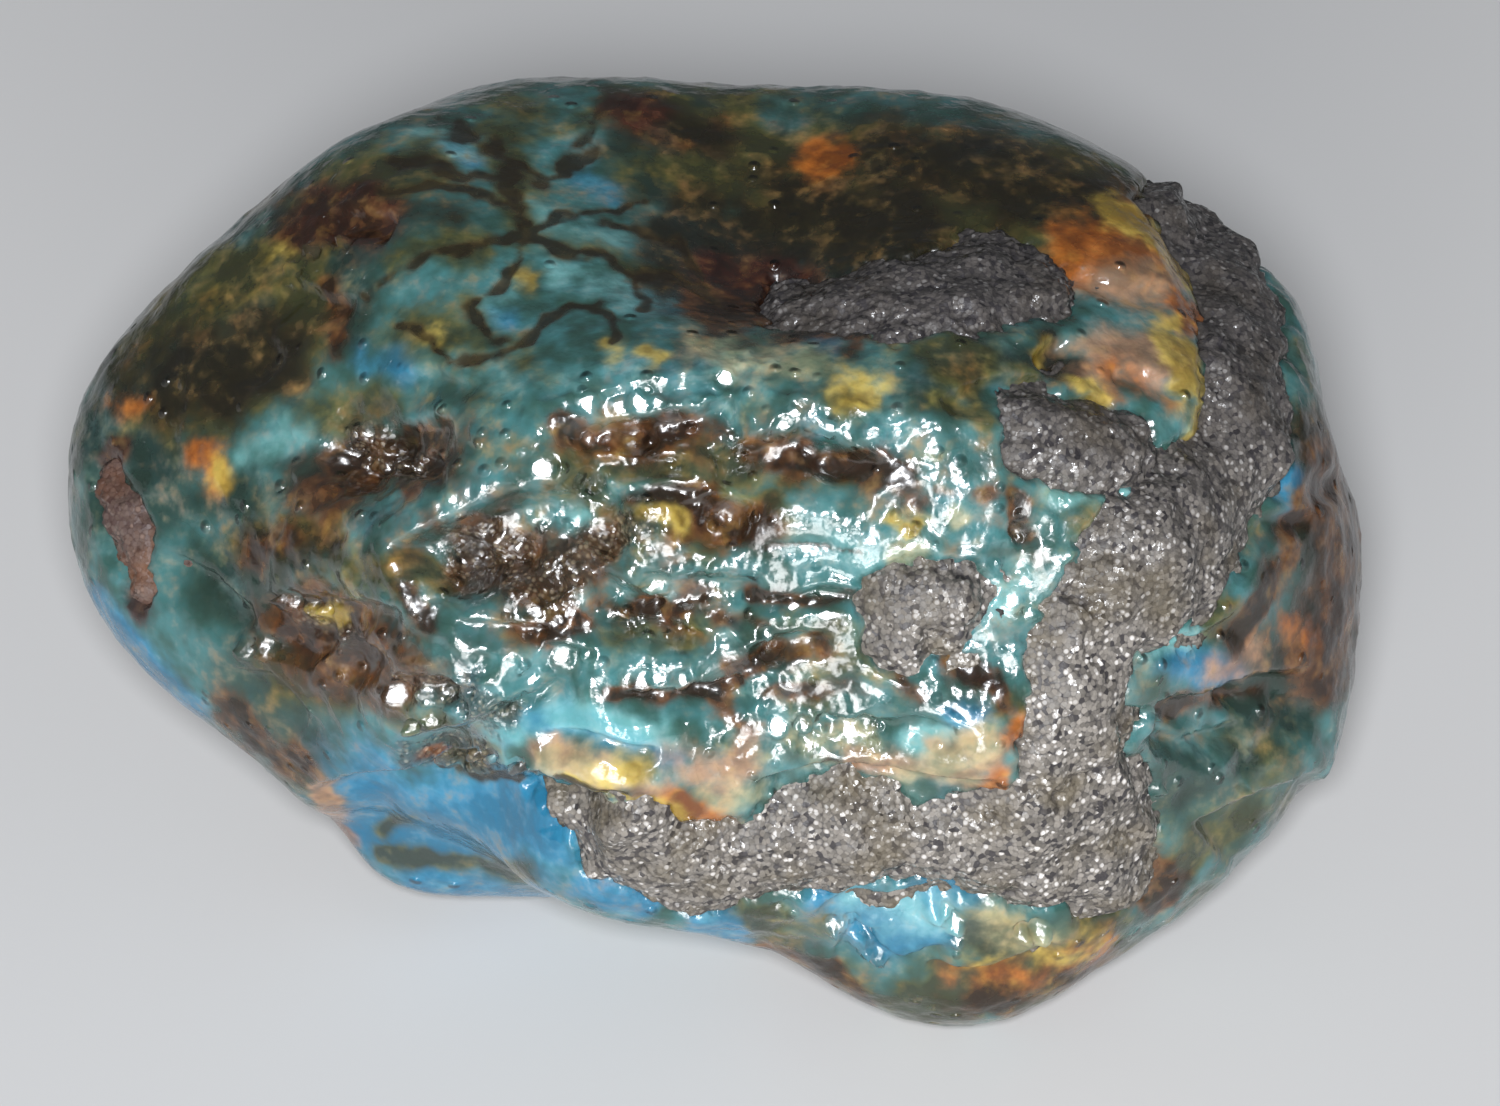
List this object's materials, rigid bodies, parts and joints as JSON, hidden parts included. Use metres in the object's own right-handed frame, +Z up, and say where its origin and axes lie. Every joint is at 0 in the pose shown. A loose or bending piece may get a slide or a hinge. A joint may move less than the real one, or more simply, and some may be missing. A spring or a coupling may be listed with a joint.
{
  "type": "rough amber specimen",
  "caption": "Rough lump of glossy blue-green amber with broken ledges, brown rind, gold patches and crusts of grey sandstone matrix, resting on a flat underside.",
  "frame": {"origin": "in the plane of the flat resting face, under the middle of the specimen's box", "axes": "+X along the longest extent, towards the end with the sandstone band; +Y towards the back; +Z up from the resting face, the shortest extent. The display face looks up and to the front, along -Y and +Z"},
  "size_m": [0.052, 0.0392, 0.0309],
  "materials": {
    "amber": "gloss",
    "sandstone": "satin",
    "pink_crust": "satin"
  },
  "bodies": {
    "root": {"amber_nodule": "amber", "matrix_band": "sandstone", "matrix_top_patch": "sandstone", "matrix_upper_patch": "sandstone", "matrix_middle_patch": "sandstone", "matrix_left_strip": "pink_crust"}
  },
  "joints": []
}
